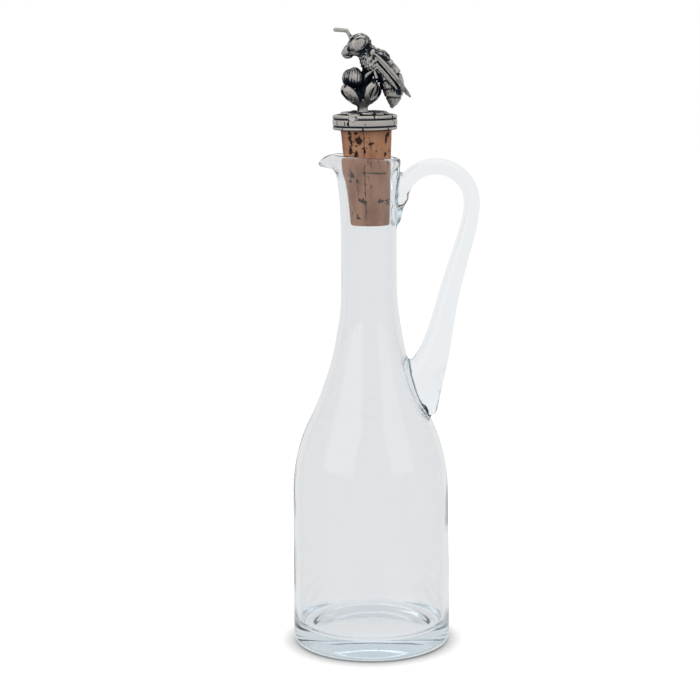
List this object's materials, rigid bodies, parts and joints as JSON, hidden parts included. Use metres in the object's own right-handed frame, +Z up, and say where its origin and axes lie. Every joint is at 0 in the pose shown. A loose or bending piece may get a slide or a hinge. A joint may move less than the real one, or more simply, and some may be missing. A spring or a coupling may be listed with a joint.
{
  "type": "cruet",
  "caption": "Tall clear glass pouring bottle with a pulled spout and loop handle, closed by a tapered cork stopper with a cast pewter bee on a blossom.",
  "frame": {"origin": "on the bottle's axis, in the plane of the foot", "axes": "+Z up along the bottle's axis, -X towards the spout, +X towards the handle"},
  "size_m": [0.0838, 0.0704, 0.2735],
  "materials": {
    "glass": "clear polished soda-lime glass, faint grey-green in its edges",
    "cork": "natural cork with pores and fine cracks",
    "pewter_cap": "cast pewter, satin, darkened in the hollows",
    "pewter_figure": "cast pewter, satin, dark patina in the hollows"
  },
  "bodies": {
    "root": {"glass": "glass", "cork": "cork", "cap": "pewter_cap", "figure": "pewter_figure"}
  },
  "joints": []
}
